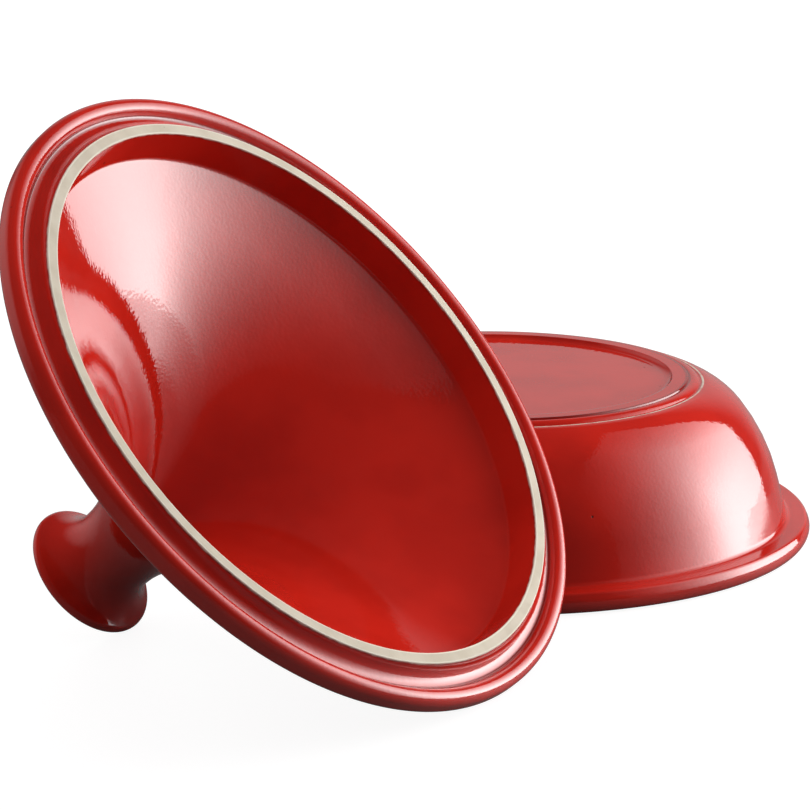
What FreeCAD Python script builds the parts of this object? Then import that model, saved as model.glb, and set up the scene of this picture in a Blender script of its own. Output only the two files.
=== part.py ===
"""A glazed stoneware tagine taken apart to dry, in millimetres.

The shallow dish stands upside down on its rim. The conical lid lies beside it on the edge of its own
rim and the edge of its knob, mouth towards the viewer, and its rim leans on the heel of the dish.
Each piece is one turned form, so each is one wall section swept round its own axis.
"""
import FreeCAD, Part
import math
import os

import Sketcher
from FreeCAD import Placement, Rotation, Vector

# Both section outlines are drawn with the piece the way it is used: foot down, knob up.
SIZES = {
    # shared by both rims, which lie flush when the tagine is closed
    "rim_radius": 160.0,
    # dish: foot and ledge, from the ledge inwards
    "dish_height": 80.7,
    "ledge_height": 2.3,
    "ledge_width": 1.4,
    "roll_radius": 5.0,
    "roll_height": 2.7,
    "roll_offset": 0.5,
    "foot_setback": 7.7,
    "foot_rise": 0.9,
    "foot_width": 7.7,
    "recess_depth": 2.3,
    "recess_round": 4.0,
    # dish: wall and rim
    "dish_wall": 7.3,
    "wall_draft": 15.0,
    "heel_radius": 40.0,
    "heel_angle": 36.2,
    "belly_radius": 95.0,
    "belly_angle": 23.7,
    "flange_depth": 10.7,
    "flange_inset": 1.2,
    "flange_edge_round": 2.0,
    "flange_fillet": 3.0,
    "dish_rim_round": 5.7,
    "mouth_round": 2.5,
    # lid: rim and seat, from the rim inwards
    "lid_rim_thickness": 11.2,
    "lid_rim_round": 4.3,
    "shoulder_flat": 3.36,
    "lip_angle": 60.2,
    "channel_width": 1.3,
    "cove_radius": 7.0,
    "seat_width": 5.5,
    "seat_edge_round": 0.6,
    "seat_drop": 2.45,
    "skirt_taper": 2.6,
    "skirt_clearance": 0.7,
    # lid: cone
    "cone_half_angle": 61.0,
    "lid_wall": 6.0,
    "crease_round": 2.5,
    "shoulder_fillet": 8.0,
    "tip_round": 14.0,
    # lid: bell, neck and knob
    "bell_radius": 300.0,
    "bell_angle": 17.0,
    "sweep_radius": 85.0,
    "taper_radius": 50.0,
    "taper_angle": 18.0,
    "neck_radius": 20.8,
    "knob_radius": 32.5,
    "knob_rise": 19.75,
    "knob_round": 3.0,
    "knob_dish": 2.2,
    # how the two pieces lie
    "lid_facing": -30.1,
    "dish_bearing": 67.5,
    "lean_gap": 0.3,
}

# A sketch counts the points of an edge from one, and its two axes down from minus one
START, END, CENTRE = range(1, 4)
ACROSS_AXIS, UP_AXIS = range(-1, -3, -1)
ORIGIN_POINT = (ACROSS_AXIS, START)

doc = FreeCAD.newDocument("tagine")

# The driving sizes, one row each
sheet = doc.addObject("Spreadsheet::Sheet", "Sizes")
for row, (name, value) in enumerate(SIZES.items(), start=1):
    sheet.set(f"A{row}", name)
    sheet.set(f"B{row}", str(value))
    sheet.setAlias(f"B{row}", name)
doc.recompute()


def size(name):
    """The value that the sheet holds for a named size."""
    return float(sheet.get(name))


class Section:
    """A closed wall section in a body's XZ plane: across is the radius and up is the height."""

    def __init__(self, body, name):
        self.sketch = body.newObject("Sketcher::SketchObject", name)
        plane = next(item for item in body.Origin.OriginFeatures if item.Role == "XZ_Plane")
        self.sketch.AttachmentSupport = [(plane, "")]
        self.sketch.MapMode = "FlatFace"
        self.edges = {}
        self.ends = {}

    def _add(self, name, curve, first, last):
        index = self.sketch.addGeometry(curve, False)
        self.edges[name] = index
        self.ends[name] = (first, last)

    def line(self, name, start, end):
        """A straight edge from start to end, each given as (radius, height)."""
        self._add(name, Part.LineSegment(Vector(*start, 0), Vector(*end, 0)), START, END)

    def arc(self, name, centre, start, end, clockwise=False):
        """A round edge from start to end about centre."""
        radius = math.dist(centre, start)
        angles = [math.atan2(point[1] - centre[1], point[0] - centre[0]) for point in (start, end)]
        circle = Part.Circle(Vector(*centre, 0), Vector(0, 0, 1), radius)
        if clockwise:
            self._add(name, Part.ArcOfCircle(circle, angles[1], angles[0]), END, START)
        else:
            self._add(name, Part.ArcOfCircle(circle, angles[0], angles[1]), START, END)

    def join(self, first, second, smooth=False):
        """Joins the end of one edge to the start of the next, as a corner or as a smooth run."""
        kind = "Tangent" if smooth else "Coincident"
        refs = (self.edges[first], self.ends[first][1], self.edges[second], self.ends[second][0])
        self.sketch.addConstraint(Sketcher.Constraint(kind, *refs))

    def point(self, name, place):
        """A helper point that isn't part of the outline."""
        self.edges[name] = self.sketch.addGeometry(Part.Point(Vector(*place, 0)), True)
        self.ends[name] = (START, START)

    def where(self, name, end):
        """The sketch's own number for an edge's start, end or centre."""
        if end == CENTRE:
            return self.edges[name], CENTRE
        return self.edges[name], self.ends[name][end - START]

    def _bind(self, label, expression, constraint):
        index = self.sketch.addConstraint(constraint)
        self.sketch.renameConstraint(index, label)
        self.sketch.setExpression(f"Constraints.{label}", expression)

    def _between(self, kind, spot, base, expression, value):
        first = self.where(*base) if base else ORIGIN_POINT
        label = f"{spot[0]}_{kind}_{spot[1]}"
        self._bind(label, expression, Sketcher.Constraint(kind, *first, *self.where(*spot), value))

    def across(self, name, end, expression, value, base=None):
        """Sets a point's radius, counted from the turning axis or from another point."""
        self._between("DistanceX", (name, end), base, expression, value)

    def up(self, name, end, expression, value, base=None):
        """Sets a point's height, counted from the section's foot or from another point."""
        self._between("DistanceY", (name, end), base, expression, value)

    def reading(self, label, name, end):
        """A point's radius as the section works it out, for another section to use."""
        refs = (*ORIGIN_POINT, *self.where(name, end))
        index = self.sketch.addConstraint(Sketcher.Constraint("DistanceX", *refs, 0))
        self.sketch.setDriving(index, False)
        self.sketch.renameConstraint(index, label)

    def radius(self, name, expression, value):
        """Sets an arc's radius."""
        self._bind(f"{name}_radius", expression, Sketcher.Constraint("Radius", self.edges[name], value))

    def turn(self, name, expression, degrees):
        """Sets a straight edge's direction from the radius axis, or how far an arc turns."""
        constraint = Sketcher.Constraint("Angle", self.edges[name], math.radians(degrees))
        self._bind(f"{name}_turn", expression, constraint)

    def length(self, name, expression, value):
        """Sets a straight edge's length."""
        self._bind(f"{name}_length", expression, Sketcher.Constraint("Distance", self.edges[name], value))

    def stand_off(self, point, edge, expression, value):
        """Sets how far a helper point lies from a straight edge."""
        constraint = Sketcher.Constraint("Distance", *self.where(point, START), self.edges[edge], value)
        self._bind(f"{edge}_stand_off", expression, constraint)

    def on_axis(self, name, end, axis):
        """Puts a point on the radius axis or on the turning axis."""
        self.sketch.addConstraint(Sketcher.Constraint("PointOnObject", *self.where(name, end), axis))

    def lies_on(self, point, edge):
        """Puts a helper point on an edge or on its extension."""
        refs = (*self.where(point, START), self.edges[edge])
        self.sketch.addConstraint(Sketcher.Constraint("PointOnObject", *refs))

    def same_centre(self, first, second):
        refs = (self.edges[first], CENTRE, self.edges[second], CENTRE)
        self.sketch.addConstraint(Sketcher.Constraint("Coincident", *refs))

    def level(self, name):
        self.sketch.addConstraint(Sketcher.Constraint("Horizontal", self.edges[name]))

    def level_points(self, name):
        """Puts an arc's end and its centre at one height."""
        refs = (*self.where(name, END), *self.where(name, CENTRE))
        self.sketch.addConstraint(Sketcher.Constraint("Horizontal", *refs))

    def plumb(self, name):
        self.sketch.addConstraint(Sketcher.Constraint("Vertical", self.edges[name]))

    def parallel(self, first, second):
        constraint = Sketcher.Constraint("Parallel", self.edges[first], self.edges[second])
        self.sketch.addConstraint(constraint)

    def equal(self, first, second):
        constraint = Sketcher.Constraint("Equal", self.edges[first], self.edges[second])
        self.sketch.addConstraint(constraint)


def turn_on_wheel(body, section, name):
    """Sweeps a wall section right round the body's vertical axis."""
    turned = body.newObject("PartDesign::Revolution", name)
    turned.Profile = section.sketch
    turned.ReferenceAxis = (section.sketch, ["V_Axis"])
    turned.Angle = 360
    section.sketch.Visibility = False
    doc.recompute()
    return turned


def ring_edges(feature, radius, height):
    """Names of the circular edges of a given radius at a given height."""
    tolerance = 0.01
    names = []
    for number, edge in enumerate(feature.Shape.Edges, start=1):
        if edge.Degenerated or not isinstance(edge.Curve, Part.Circle):
            continue
        curve = edge.Curve
        if abs(curve.Radius - radius) < tolerance and abs(curve.Center.z - height) < tolerance:
            names.append(f"Edge{number}")
    return names


def soften(body, base, name, rings, alias):
    """Rounds the ring edges that the glaze runs over, by the radius of one named size."""
    fillet = body.newObject("PartDesign::Fillet", name)
    picked = []
    for radius, height in rings:
        picked.extend(ring_edges(base, radius, height))
    fillet.Base = (base, picked)
    fillet.setExpression("Radius", f"Sizes.{alias}")
    doc.recompute()
    return fillet


def polar(centre, radius, degrees):
    """The point at a given direction from a centre."""
    angle = math.radians(degrees)
    return centre[0] + radius * math.cos(angle), centre[1] + radius * math.sin(angle)


def make_dish(seat_reach):
    """The dish, whose mouth takes the lid's seat: foot ring, ledge, heel, drafted wall, flanged rim."""
    body = doc.addObject("PartDesign::Body", "dish")
    body.Label = "dish"
    draft = size("wall_draft")
    wall = size("dish_wall")
    top = size("dish_height")

    # The mouth is as wide as the lid's skirt needs at the depth that the skirt reaches
    skirt_lead = size("seat_drop") * math.tan(math.radians(draft))
    mouth = (seat_reach + size("skirt_clearance") + skirt_lead, top)
    outward = math.cos(math.radians(draft)), -math.sin(math.radians(draft))
    wall_turn = 90 - draft

    # The heel rises from the ledge and runs into the belly, and the belly into the drafted wall
    belly = size("belly_radius")
    heel = size("heel_radius")
    heel_turn = -draft - size("belly_angle")
    ledge_turn = heel_turn - size("heel_angle")
    heel_up = size("ledge_height") - heel * math.sin(math.radians(ledge_turn))
    belly_up = heel_up - (belly - heel) * math.sin(math.radians(heel_turn))
    foot_up = belly_up + belly * outward[1]
    drop = (top - foot_up) * math.tan(math.radians(draft))
    wall_foot = (mouth[0] + wall / outward[0] - drop, foot_up)
    belly_centre = (wall_foot[0] - belly * outward[0], belly_up)
    heel_centre = polar(belly_centre, belly - heel, heel_turn)
    heel_top = polar(belly_centre, belly, heel_turn)
    ledge = polar(heel_centre, heel, ledge_turn)

    # Rim corners, before the solver makes them exact
    flange = top - size("flange_depth")
    rim = size("rim_radius")
    rim_round = size("dish_rim_round")
    edge_round = size("flange_edge_round")
    fillet = size("flange_fillet")
    outer_wall = mouth[0] + wall / outward[0] - size("flange_depth") * math.tan(math.radians(draft))
    edge_radius = rim - size("flange_inset")
    fillet_centre = (outer_wall + fillet, flange - fillet)

    # Foot corners
    foot = ledge[0] - size("foot_setback")
    foot_inner = foot - size("foot_width")
    recess = size("recess_depth")
    recess_round = size("recess_round")
    recess_run = math.sqrt(recess_round ** 2 - (recess_round - recess) ** 2)
    recess_edge = foot_inner - recess_run
    recess_centre = (recess_edge, recess - recess_round)
    roll_start = (foot + size("roll_offset"), size("foot_rise"))
    roll_end = (ledge[0] - size("ledge_width"), size("roll_height"))
    roll = size("roll_radius")
    half = math.dist(roll_start, roll_end) / 2
    rise = math.sqrt(roll ** 2 - half ** 2)
    lean = math.degrees(math.atan2(roll_end[1] - roll_start[1], roll_end[0] - roll_start[0]))
    middle = ((roll_start[0] + roll_end[0]) / 2, (roll_start[1] + roll_end[1]) / 2)
    roll_centre = polar(middle, rise, lean + 90)
    inside_heel = heel - wall
    inside_belly = belly - wall
    floor = heel_centre[1] - inside_heel

    section = Section(body, "dish_section")
    section.line("recess_floor", (0, recess), (recess_edge, recess))
    section.arc("recess_side", recess_centre, (recess_edge, recess), (foot_inner, 0), clockwise=True)
    section.line("foot_band", (foot_inner, 0), (foot, 0))
    section.line("foot_side", (foot, 0), roll_start)
    section.arc("roll", roll_centre, roll_start, roll_end)
    section.line("ledge", roll_end, ledge)
    section.arc("heel", heel_centre, ledge, heel_top)
    section.arc("belly", belly_centre, heel_top, wall_foot)
    section.line("wall", wall_foot, (outer_wall, flange - fillet))
    section.arc("root", fillet_centre, (outer_wall, flange - fillet), (fillet_centre[0], flange),
                clockwise=True)
    section.line("flange", (fillet_centre[0], flange), (edge_radius - edge_round, flange))
    edge_centre = (edge_radius - edge_round, flange + edge_round)
    section.arc("edge", edge_centre, (edge_centre[0], flange), (edge_radius, edge_centre[1]))
    section.line("band", (edge_radius, edge_centre[1]), (rim, top - rim_round))
    section.arc("rim", (rim - rim_round, top - rim_round), (rim, top - rim_round),
                (rim - rim_round, top))
    section.line("rim_top", (rim - rim_round, top), mouth)
    inner_foot = polar(belly_centre, inside_belly, -draft)
    inner_heel = polar(heel_centre, inside_heel, heel_turn)
    section.line("inside_wall", mouth, inner_foot)
    section.arc("inside_belly", belly_centre, inner_foot, inner_heel, clockwise=True)
    section.arc("inside_heel", heel_centre, inner_heel, (heel_centre[0], floor), clockwise=True)
    section.line("inside_floor", (heel_centre[0], floor), (0, floor))
    section.line("axis", (0, floor), (0, recess))

    section.join("recess_floor", "recess_side", smooth=True)
    section.join("recess_side", "foot_band")
    section.join("foot_band", "foot_side")
    section.join("foot_side", "roll")
    section.join("roll", "ledge")
    section.join("ledge", "heel")
    for first, second in (("heel", "belly"), ("belly", "wall"), ("wall", "root"), ("root", "flange"),
                          ("flange", "edge"), ("edge", "band"), ("band", "rim"), ("rim", "rim_top")):
        section.join(first, second, smooth=True)
    section.join("rim_top", "inside_wall")
    for first, second in (("inside_wall", "inside_belly"), ("inside_belly", "inside_heel"),
                          ("inside_heel", "inside_floor")):
        section.join(first, second, smooth=True)
    section.join("inside_floor", "axis")
    section.join("axis", "recess_floor")

    for level_edge in ("recess_floor", "flange", "rim_top", "inside_floor"):
        section.level(level_edge)
    section.on_axis("axis", START, UP_AXIS)
    section.on_axis("axis", END, UP_AXIS)
    section.up("recess_floor", START, "Sizes.recess_depth", recess)
    section.radius("recess_side", "Sizes.recess_round", recess_round)
    section.on_axis("foot_band", START, ACROSS_AXIS)
    section.on_axis("foot_band", END, ACROSS_AXIS)
    section.length("foot_band", "Sizes.foot_width", foot - foot_inner)
    section.across("ledge", END, "Sizes.foot_setback", ledge[0] - foot, base=("foot_band", END))
    section.across("roll", START, "Sizes.roll_offset", roll_start[0] - foot, base=("foot_band", END))
    section.up("roll", START, "Sizes.foot_rise", roll_start[1])
    section.radius("roll", "Sizes.roll_radius", roll)
    section.across("heel", START, "Sizes.ledge_width", ledge[0] - roll_end[0], base=("roll", END))
    section.up("roll", END, "Sizes.roll_height", roll_end[1])
    section.up("heel", START, "Sizes.ledge_height", ledge[1])
    section.radius("heel", "Sizes.heel_radius", heel)
    section.turn("heel", "Sizes.heel_angle * 1 deg", heel_turn - ledge_turn)
    section.radius("belly", "Sizes.belly_radius", belly)
    section.turn("belly", "Sizes.belly_angle * 1 deg", -draft - heel_turn)
    section.turn("wall", "90 deg - Sizes.wall_draft * 1 deg", wall_turn)
    section.radius("root", "Sizes.flange_fillet", fillet)
    section.up("flange", START, "Sizes.dish_height - Sizes.flange_depth", flange)
    section.radius("edge", "Sizes.flange_edge_round", edge_round)
    section.across("band", START, "Sizes.rim_radius - Sizes.flange_inset", edge_radius)
    section.radius("rim", "Sizes.dish_rim_round", rim_round)
    section.across("rim", CENTRE, "Sizes.rim_radius - Sizes.dish_rim_round", rim - rim_round)
    section.up("rim_top", START, "Sizes.dish_height", top)
    skirt_rule = "(Sizes.skirt_clearance + Sizes.seat_drop * tan(Sizes.wall_draft * 1 deg)) * 1 mm"
    section.across("rim_top", END, f"lid_section.Constraints.seat_reach + {skirt_rule}", mouth[0])
    section.point("mouth_corner", mouth)
    refs = (*section.where("mouth_corner", START), *section.where("rim_top", END))
    section.sketch.addConstraint(Sketcher.Constraint("Coincident", *refs))
    section.stand_off("mouth_corner", "wall", "Sizes.dish_wall", wall)
    section.same_centre("belly", "inside_belly")
    section.same_centre("heel", "inside_heel")
    section.parallel("wall", "inside_wall")

    turned = turn_on_wheel(body, section, "turned_dish")
    soften(body, turned, "mouth_edge", [(mouth[0], top)], "mouth_round")
    return body


def make_lid():
    """The lid: unglazed seat ring, skirt, drooping rim, bell-shaped cone and flared knob."""
    body = doc.addObject("PartDesign::Body", "lid")
    body.Label = "lid"
    half_angle = size("cone_half_angle")
    facing = (math.cos(math.radians(half_angle)), math.sin(math.radians(half_angle)))
    wall = size("lid_wall")

    def offset_of(point):
        """How far a point lies from the apex side, measured square to the cone."""
        return point[0] * facing[0] + point[1] * facing[1]

    # Rim, from its outer edge inwards: crest, lip, channel floor, cove and seat
    rim = size("rim_radius")
    rim_round = size("lid_rim_round")
    cove = size("cove_radius")
    crest_centre = (rim - rim_round, size("seat_drop") + rim_round)
    crest_start = polar(crest_centre, rim_round, 270 - size("lip_angle"))
    lip_run = (cove - crest_start[1]) / math.tan(math.radians(size("lip_angle")))
    lip_root = (crest_start[0] - lip_run, cove)
    cove_centre = (lip_root[0] - size("channel_width"), 0)
    seat = cove_centre[0] - cove
    seat_inner = seat - size("seat_width")
    upper_centre = (crest_centre[0], size("seat_drop") + size("lid_rim_thickness") - rim_round)
    rim_top = upper_centre[1] + rim_round

    # Outside: the shoulder fillet runs from the rim's flat top into the cone
    shoulder = size("shoulder_fillet")
    shoulder_centre = (upper_centre[0] - size("shoulder_flat"), rim_top + shoulder)
    shoulder_end = polar(shoulder_centre, shoulder, half_angle + 180)
    outside = offset_of(shoulder_end)

    # Inside: the skirt meets the cone one wall in from the outside
    inside = outside - wall
    crease_across = seat_inner - size("skirt_taper")
    crease = (crease_across, (inside - crease_across * facing[0]) / facing[1])
    crease_round = size("crease_round")

    # Bell and neck: three hollow arcs carry the cone's outside up into the neck's narrowest ring
    bell = size("bell_radius")
    sweep = size("sweep_radius")
    taper = size("taper_radius")
    throat_turn = half_angle - size("bell_angle")
    taper_turn = size("taper_angle")
    sweep_across = size("neck_radius") + taper + (sweep - taper) * math.cos(math.radians(taper_turn))
    bell_across = sweep_across + (bell - sweep) * math.cos(math.radians(throat_turn))
    bell_centre = (bell_across, (outside + bell - bell_across * facing[0]) / facing[1])
    sweep_centre = polar(bell_centre, sweep - bell, throat_turn)
    taper_centre = polar(sweep_centre, taper - sweep, taper_turn)
    neck = (size("neck_radius"), taper_centre[1])
    bell_start = polar(bell_centre, bell, half_angle + 180)
    sweep_start = polar(bell_centre, bell, throat_turn + 180)
    taper_start = polar(taper_centre, taper, taper_turn + 180)

    # The inside follows the cone and the bell, and runs straight on to a rounded tip
    inner_bell_start = polar(bell_centre, bell + wall, half_angle + 180)
    inner_bell_end = polar(bell_centre, bell + wall, throat_turn + 180)
    throat = (math.cos(math.radians(throat_turn)), math.sin(math.radians(throat_turn)))
    throat_offset = inner_bell_end[0] * throat[0] + inner_bell_end[1] * throat[1]
    tip_round = size("tip_round")
    tip_centre = (0, (throat_offset - tip_round) / throat[1])
    tip_edge = polar(tip_centre, tip_round, throat_turn)
    tip = (0, tip_centre[1] + tip_round)

    # Knob: the flare stands on the neck's narrowest ring
    knob_round = size("knob_round")
    knob_centre = (size("knob_radius") - knob_round, neck[1] + size("knob_rise"))
    run, climb = knob_centre[0] - neck[0], knob_centre[1] - neck[1]
    flare = (run ** 2 + climb ** 2 - knob_round ** 2) / (2 * (run + knob_round))
    flare_centre = (neck[0] + flare, neck[1])
    flare_turn = math.degrees(math.atan2(climb, knob_centre[0] - flare_centre[0]))
    flare_end = polar(flare_centre, flare, flare_turn)
    knob_top = knob_centre[1] + knob_round - size("knob_dish")
    sink = knob_top - knob_centre[1]
    hollow = (knob_centre[0] ** 2 + sink ** 2 - knob_round ** 2) / (2 * (knob_round - sink))
    hollow_centre = (0, knob_top + hollow)
    hollow_turn = math.degrees(math.atan2(hollow_centre[1] - knob_centre[1], -knob_centre[0]))
    knob_edge = polar(knob_centre, knob_round, hollow_turn)

    section = Section(body, "lid_section")
    inside_end = (crease[0] - crease_round * facing[1], crease[1] + crease_round * facing[0])
    skirt_start = (crease[0] + size("skirt_taper") * crease_round / crease[1], crease[1] - crease_round)
    crease_centre = (inside_end[0] - crease_round * facing[0], inside_end[1] - crease_round * facing[1])
    section.arc("tip", tip_centre, tip, tip_edge, clockwise=True)
    section.line("inside_throat", tip_edge, inner_bell_end)
    section.arc("inside_bell", bell_centre, inner_bell_end, inner_bell_start)
    section.line("inside_cone", inner_bell_start, inside_end)
    section.arc("crease", crease_centre, inside_end, skirt_start, clockwise=True)
    section.line("skirt", skirt_start, (seat_inner, 0))
    section.line("seat", (seat_inner, 0), (seat, 0))
    section.arc("cove", cove_centre, (seat, 0), (cove_centre[0], cove), clockwise=True)
    section.line("channel", (cove_centre[0], cove), lip_root)
    section.line("lip", lip_root, crest_start)
    section.arc("crest", crest_centre, crest_start, (rim, crest_centre[1]))
    section.line("band", (rim, crest_centre[1]), (rim, upper_centre[1]))
    section.arc("upper_edge", upper_centre, (rim, upper_centre[1]), (upper_centre[0], rim_top))
    section.line("rim_top", (upper_centre[0], rim_top), (shoulder_centre[0], rim_top))
    section.arc("shoulder", shoulder_centre, (shoulder_centre[0], rim_top), shoulder_end, clockwise=True)
    section.line("cone", shoulder_end, bell_start)
    section.arc("bell", bell_centre, bell_start, sweep_start, clockwise=True)
    section.arc("sweep", sweep_centre, sweep_start, taper_start, clockwise=True)
    section.arc("taper", taper_centre, taper_start, neck, clockwise=True)
    section.arc("flare", flare_centre, neck, flare_end, clockwise=True)
    section.arc("knob_edge", knob_centre, flare_end, knob_edge)
    section.arc("knob_top", hollow_centre, knob_edge, (0, knob_top), clockwise=True)
    section.line("axis", (0, knob_top), tip)

    section.join("axis", "tip")
    for first, second in (("tip", "inside_throat"), ("inside_throat", "inside_bell"),
                          ("inside_bell", "inside_cone"), ("inside_cone", "crease"), ("crease", "skirt")):
        section.join(first, second, smooth=True)
    section.join("skirt", "seat")
    section.join("seat", "cove")
    section.join("cove", "channel", smooth=True)
    section.join("channel", "lip")
    for first, second in (("lip", "crest"), ("crest", "band"), ("band", "upper_edge"),
                          ("upper_edge", "rim_top"), ("rim_top", "shoulder"), ("shoulder", "cone"),
                          ("cone", "bell"), ("bell", "sweep"), ("sweep", "taper"), ("taper", "flare"),
                          ("flare", "knob_edge"), ("knob_edge", "knob_top")):
        section.join(first, second, smooth=True)
    section.join("knob_top", "axis")

    section.on_axis("axis", START, UP_AXIS)
    section.on_axis("axis", END, UP_AXIS)
    section.on_axis("tip", CENTRE, UP_AXIS)
    section.on_axis("knob_top", CENTRE, UP_AXIS)
    section.on_axis("seat", START, ACROSS_AXIS)
    section.on_axis("seat", END, ACROSS_AXIS)
    section.on_axis("cove", CENTRE, ACROSS_AXIS)
    section.level("channel")
    section.level("rim_top")
    section.plumb("band")
    section.radius("tip", "Sizes.tip_round", tip_round)
    section.turn("inside_cone", "Sizes.cone_half_angle * 1 deg - 90 deg", half_angle - 90)
    section.point("crease_corner", crease)
    section.across("seat", START, "Sizes.skirt_taper", seat_inner - crease[0], base=("crease_corner", START))
    section.lies_on("crease_corner", "inside_cone")
    section.lies_on("crease_corner", "skirt")
    section.radius("crease", "Sizes.crease_round", crease_round)
    section.length("seat", "Sizes.seat_width", seat - seat_inner)
    section.radius("cove", "Sizes.cove_radius", cove)
    section.length("channel", "Sizes.channel_width", lip_root[0] - cove_centre[0])
    section.turn("lip", "Sizes.lip_angle * -1 deg", -size("lip_angle"))
    section.radius("crest", "Sizes.lid_rim_round", rim_round)
    section.across("band", START, "Sizes.rim_radius", rim)
    section.up("crest", CENTRE, "Sizes.seat_drop + Sizes.lid_rim_round", crest_centre[1])
    section.length("band", "Sizes.lid_rim_thickness - 2 * Sizes.lid_rim_round",
                   upper_centre[1] - crest_centre[1])
    section.equal("crest", "upper_edge")
    section.length("rim_top", "Sizes.shoulder_flat", size("shoulder_flat"))
    section.radius("shoulder", "Sizes.shoulder_fillet", shoulder)
    section.parallel("inside_cone", "cone")
    section.stand_off("crease_corner", "cone", "Sizes.lid_wall", wall)
    section.radius("bell", "Sizes.bell_radius", bell)
    section.turn("bell", "Sizes.bell_angle * 1 deg", size("bell_angle"))
    section.same_centre("bell", "inside_bell")
    section.turn("inside_bell", "Sizes.bell_angle * 1 deg", size("bell_angle"))
    section.radius("sweep", "Sizes.sweep_radius", sweep)
    section.radius("taper", "Sizes.taper_radius", taper)
    section.turn("taper", "Sizes.taper_angle * 1 deg", taper_turn)
    section.across("taper", END, "Sizes.neck_radius", neck[0])
    section.level_points("taper")
    section.radius("knob_edge", "Sizes.knob_round", knob_round)
    section.across("knob_edge", CENTRE, "Sizes.knob_radius - Sizes.knob_round", knob_centre[0])
    section.up("knob_edge", CENTRE, "Sizes.knob_rise", size("knob_rise"), base=("taper", END))
    section.up("axis", START, "Sizes.knob_round - Sizes.knob_dish", sink, base=("knob_edge", CENTRE))
    section.reading("seat_reach", "seat", END)

    turned = turn_on_wheel(body, section, "turned_lid")
    soften(body, turned, "seat_edges", [(seat_inner, 0), (seat, 0)], "seat_edge_round")
    return body, section.sketch.getDatum("seat_reach").Value, neck[1] + size("knob_rise")


def lay_down(lid, knob_up):
    """Lays the lid on the edge of its rim and the edge of its knob, facing its own way."""
    rim_round = size("lid_rim_round")
    rim_across = size("rim_radius") - rim_round
    rim_up = size("seat_drop") + size("lid_rim_thickness") - rim_round
    knob_across = size("knob_radius") - size("knob_round")
    spread = math.hypot(rim_across - knob_across, knob_up - rim_up)
    fall = math.degrees(math.atan2(rim_across - knob_across, knob_up - rim_up))
    tilt = fall + math.degrees(math.asin((rim_round - size("knob_round")) / spread))
    sine, cosine = math.sin(math.radians(tilt)), math.cos(math.radians(tilt))
    ground = rim_across * cosine + rim_up * sine + rim_round
    turn = Rotation(Vector(0, 0, 1), size("lid_facing"))
    lean = Rotation(Vector(0, 1, 0), -90 - tilt)
    lid.Placement = Placement(Vector(0, 0, ground), turn.multiply(lean))


def stand_beside(dish, lid):
    """Stands the dish on its rim, upside down, where the lid's rim just leans on its heel."""
    upside_down = Rotation(Vector(1, 0, 0), 180)
    bearing = math.radians(size("dish_bearing"))
    away = Vector(math.cos(bearing), math.sin(bearing), 0)
    mouth_centre = lid.Placement.multVec(Vector(0, 0, size("seat_drop") + size("lid_rim_round")))
    mouth_centre.z = 0
    near, far = size("rim_radius"), 3 * size("rim_radius")
    fine = 0.005
    while far - near > fine:
        distance = (near + far) / 2
        spot = mouth_centre + away * distance + Vector(0, 0, size("dish_height"))
        dish.Placement = Placement(spot, upside_down)
        if dish.Shape.distToShape(lid.Shape)[0] > size("lean_gap"):
            far = distance
        else:
            near = distance


def centre_on_floor(bodies):
    """Moves everything so that the origin is the middle of the footprint."""
    box = FreeCAD.BoundBox()
    for body in bodies:
        box.add(body.Shape.optimalBoundingBox(False, False))
    middle = Vector((box.XMin + box.XMax) / 2, (box.YMin + box.YMax) / 2, box.ZMin)
    for body in bodies:
        body.Placement = Placement(body.Placement.Base - middle, body.Placement.Rotation)


lid_body, seat_outer, knob_up = make_lid()
dish_body = make_dish(seat_outer)
lay_down(lid_body, knob_up)
stand_beside(dish_body, lid_body)
centre_on_floor([dish_body, lid_body])
doc.recompute()

# Nothing is written unless every feature and both solids are sound
for item in doc.Objects:
    if "Invalid" in item.State or "Error" in item.State:
        raise RuntimeError(f"{item.Label} failed: {item.State}")
os.makedirs("parts", exist_ok=True)
for body in (dish_body, lid_body):
    shape = body.Shape
    if shape.isNull() or not shape.isValid() or len(shape.Solids) != 1:
        raise RuntimeError(f"{body.Label} is not one sound solid")
    shape.exportStep(f"parts/{body.Label}.step")
    print(body.Label, "volume", round(shape.Volume / 1000), "cm3, at", body.Placement.Base)
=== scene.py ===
# %% [markdown]
# # A glazed tagine, taken apart to dry
# A tagine is a shallow stoneware dish with a tall conical lid. Here the dish stands upside down on its
# rim, and the lid lies beside it on the edge of its own rim and the edge of its knob, with its mouth
# towards the viewer. Both pieces were turned or pressed on a wheel, so every shape is a wall section
# swept round one axis, and all the character is in the section and in the glaze.
#
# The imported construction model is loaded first. It fixes where each piece is and how large it is, and
# everything below fits it. All lengths in this file are metres unless a name or a comment says mm.

# %% Load the construction model
import math
from types import SimpleNamespace

import bpy
from mathutils import Matrix, Vector


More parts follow.
